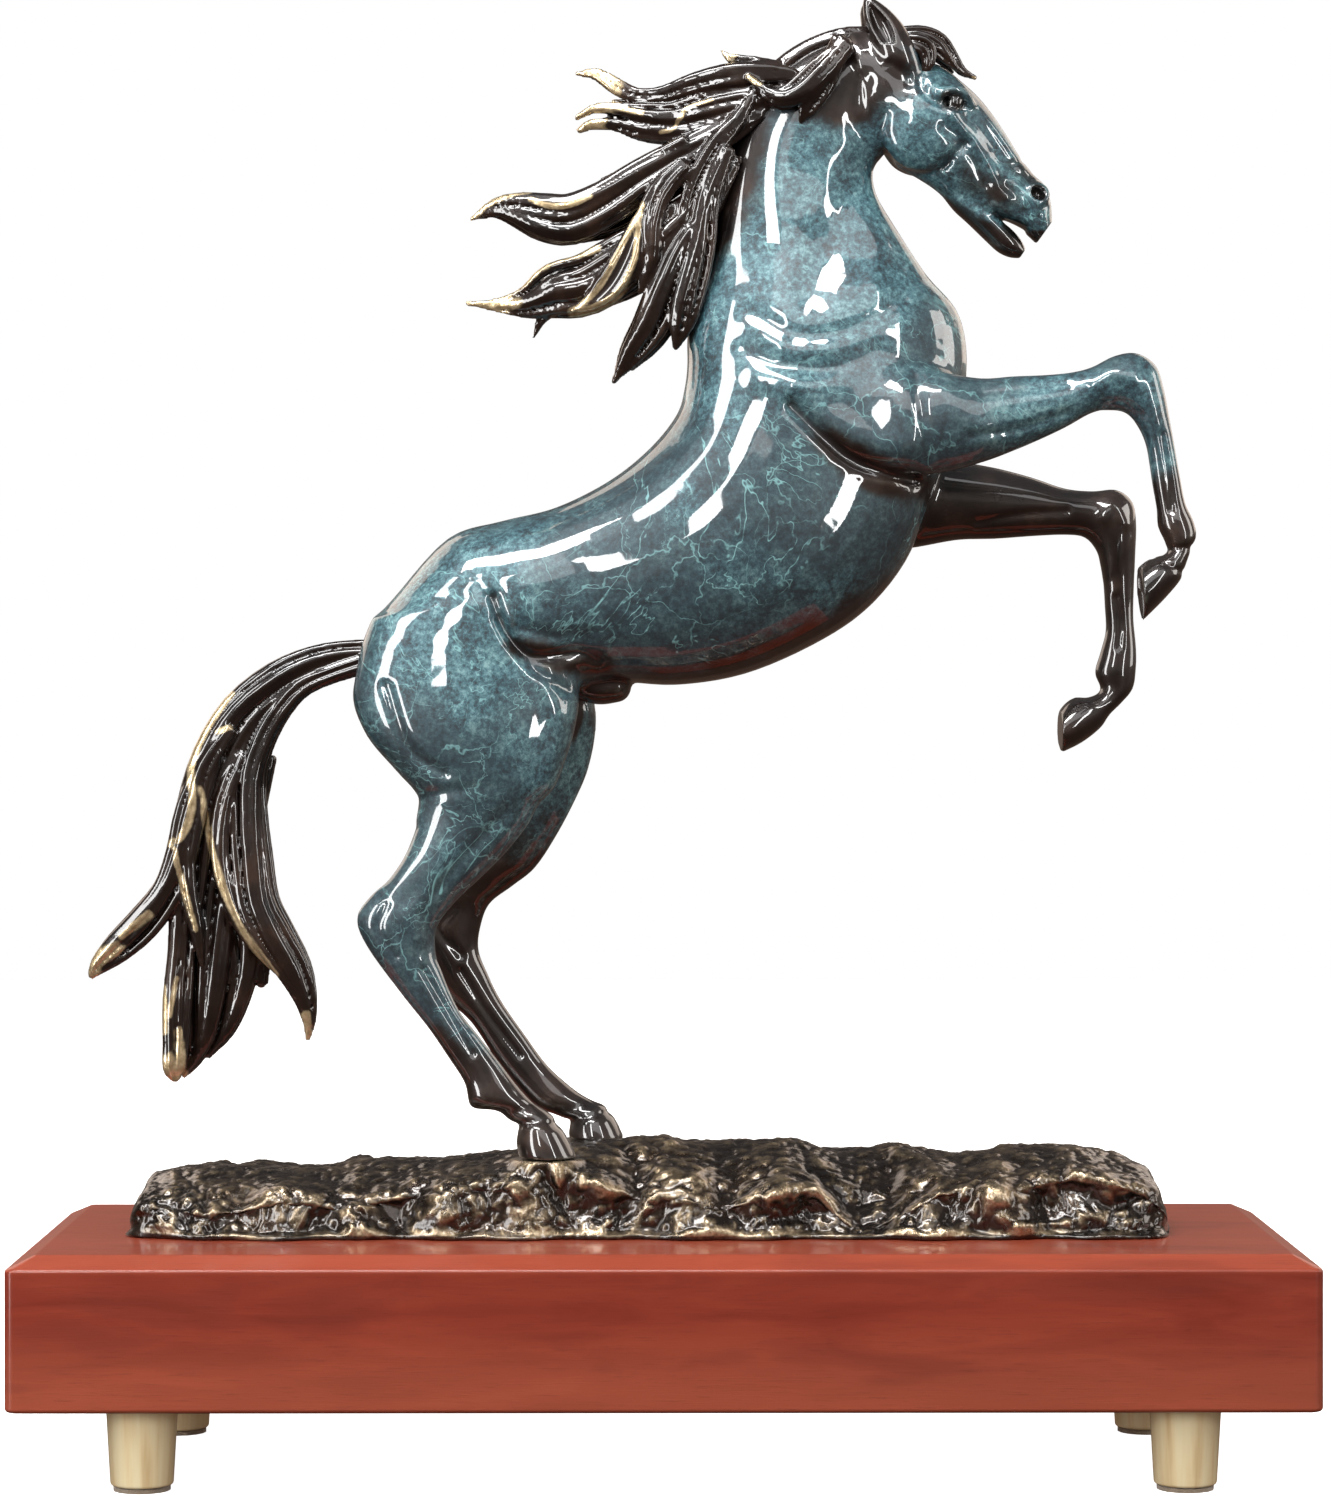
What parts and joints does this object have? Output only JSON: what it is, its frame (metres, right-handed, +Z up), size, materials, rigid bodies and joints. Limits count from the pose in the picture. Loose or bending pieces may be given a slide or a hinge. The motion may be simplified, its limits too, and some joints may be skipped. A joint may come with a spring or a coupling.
{
  "type": "bronze horse statue",
  "caption": "Bronze rearing horse on a rugged rock base, standing on a rectangular wooden plinth with tapered brass feet.",
  "frame": {"origin": "on the floor under the centre of the plinth", "axes": "+X the way the horse faces along the plinth, +Y to the horse's left, +Z up"},
  "size_m": [0.465, 0.18, 0.5413],
  "materials": {
    "patina_bronze": "blue-green patinated bronze under glossy clear lacquer",
    "dark_bronze": "dark brown glossy bronze with worn golden edges",
    "rock_bronze": "brown textured bronze with rubbed golden highs, lacquered",
    "plinth_wood": "red-brown stained wood, polished lacquer",
    "foot_brass": "pale satin brass",
    "steel": "zinc-plated steel",
    "felt": "black felt"
  },
  "bodies": {
    "root": {"body": "patina_bronze", "neck": "patina_bronze", "head": "patina_bronze", "right_hind_leg": "patina_bronze", "left_hind_leg": "patina_bronze", "right_foreleg": "patina_bronze", "left_foreleg": "patina_bronze", "mane": "dark_bronze", "forelock": "dark_bronze", "tail": "dark_bronze", "rock_base": "rock_bronze", "plinth": "plinth_wood", "foot_1": "foot_brass", "threaded_insert_1": "foot_brass", "foot_stud_1": "steel", "felt_pad_1": "felt", "base_bolt_1": "steel", "base_washer_1": "steel", "foot_2": "foot_brass", "threaded_insert_2": "foot_brass", "foot_stud_2": "steel", "felt_pad_2": "felt", "base_bolt_2": "steel", "base_washer_2": "steel", "foot_3": "foot_brass", "threaded_insert_3": "foot_brass", "foot_stud_3": "steel", "felt_pad_3": "felt", "base_bolt_3": "steel", "base_washer_3": "steel", "foot_4": "foot_brass", "threaded_insert_4": "foot_brass", "foot_stud_4": "steel", "felt_pad_4": "felt", "base_bolt_4": "steel", "base_washer_4": "steel", "right_hoof_stud": "steel", "right_hoof_washer": "steel", "right_hoof_nut": "steel", "left_hoof_stud": "steel", "left_hoof_washer": "steel", "left_hoof_nut": "steel"}
  },
  "joints": []
}
